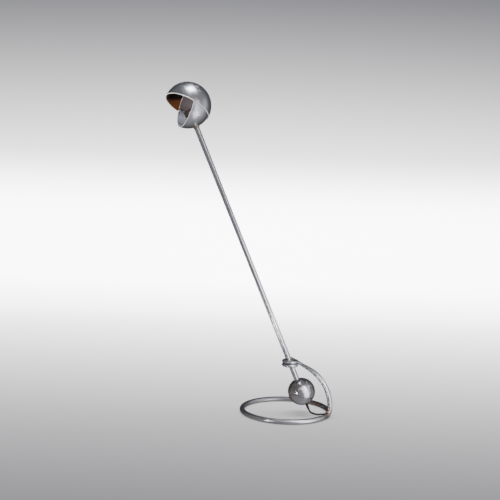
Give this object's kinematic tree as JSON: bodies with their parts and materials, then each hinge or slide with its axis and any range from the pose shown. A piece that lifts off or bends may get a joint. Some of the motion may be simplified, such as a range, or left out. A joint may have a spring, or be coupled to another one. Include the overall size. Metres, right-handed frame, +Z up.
{
  "type": "counterbalanced desk lamp",
  "caption": "Desk lamp with a ring base, a long arm balanced by a ball under a rod collar, and a split ball head whose dome tilts over its cup.",
  "frame": {"origin": "on the table, at the centre of the base ring", "axes": "+Z up; at rest the arm leans towards -X in a plane parallel to XZ; +Y away from the open side of the head"},
  "size_m": [0.5164, 0.273, 0.9661],
  "materials": {
    "steel": "satin nickel plate",
    "shell_steel": "satin nickel plate, spun",
    "rod_steel": "satin nickel plate",
    "weight_steel": "polished nickel plate",
    "fastener_steel": "zinc plate",
    "brass": "dull",
    "bush_brass": "turned",
    "rubber": "matt",
    "cord_sheath": "smooth",
    "nylon": "matt",
    "fibre": "matt",
    "phenolic": "moulded",
    "ceramic": "glazed"
  },
  "bodies": {
    "base": {"ring_tube": "steel", "riser_tube": "steel", "corner_weld": "steel", "riser_tip": "rod_steel", "collar_coil": "rod_steel", "entry_grommet": "rubber", "outlet_grommet": "rubber", "base_lead": "cord_sheath", "lead_loop_lower": "cord_sheath"},
    "liner": {"collar_liner": "nylon"},
    "arm": {"pivot_ball": "rod_steel", "ball_screw": "fastener_steel", "arm_tube": "steel", "counterweight": "weight_steel", "weight_screw": "fastener_steel", "cord_relief": "rubber", "arm_lead": "cord_sheath", "top_bush": "bush_brass", "lead_loop_upper": "cord_sheath"},
    "head": {"nipple": "brass", "nipple_nut": "brass", "cup_washer": "brass", "inner_washer": "brass", "head_cup": "shell_steel", "pivot_screws": "fastener_steel", "pivot_washers": "fibre", "pivot_nuts": "fastener_steel", "holder_cap": "phenolic", "holder_body": "phenolic", "holder_insert": "ceramic", "screw_shell": "brass", "centre_contact": "brass"},
    "dome": {"head_dome": "shell_steel"}
  },
  "joints": [
    {"name": "arm_swivel", "type": "hinge", "parent": "base", "child": "liner", "pos_m": [0.0094, -0.0033, 0.151], "axis": [0, 0, 1], "range_deg": [-35, 35], "deforming": ["lead_loop_lower"]},
    {"name": "arm_tilt", "type": "hinge", "parent": "liner", "child": "arm", "pos_m": [0.0094, -0.0033, 0.151], "axis": [0, 1, 0], "range_deg": [-6.5, 40], "deforming": ["lead_loop_upper"]},
    {"name": "head_swivel", "type": "hinge", "parent": "arm", "child": "head", "pos_m": [-0.31368, -0.0033, 0.89759], "axis": [-0.3971, 0, 0.9178], "range_deg": [-160, 160]},
    {"name": "dome_tilt", "type": "hinge", "parent": "head", "child": "dome", "pos_m": [-0.31368, -0.0033, 0.89759], "axis": [0.4066, -0.8965, 0.176], "range_deg": [-26, 95]}
  ]
}
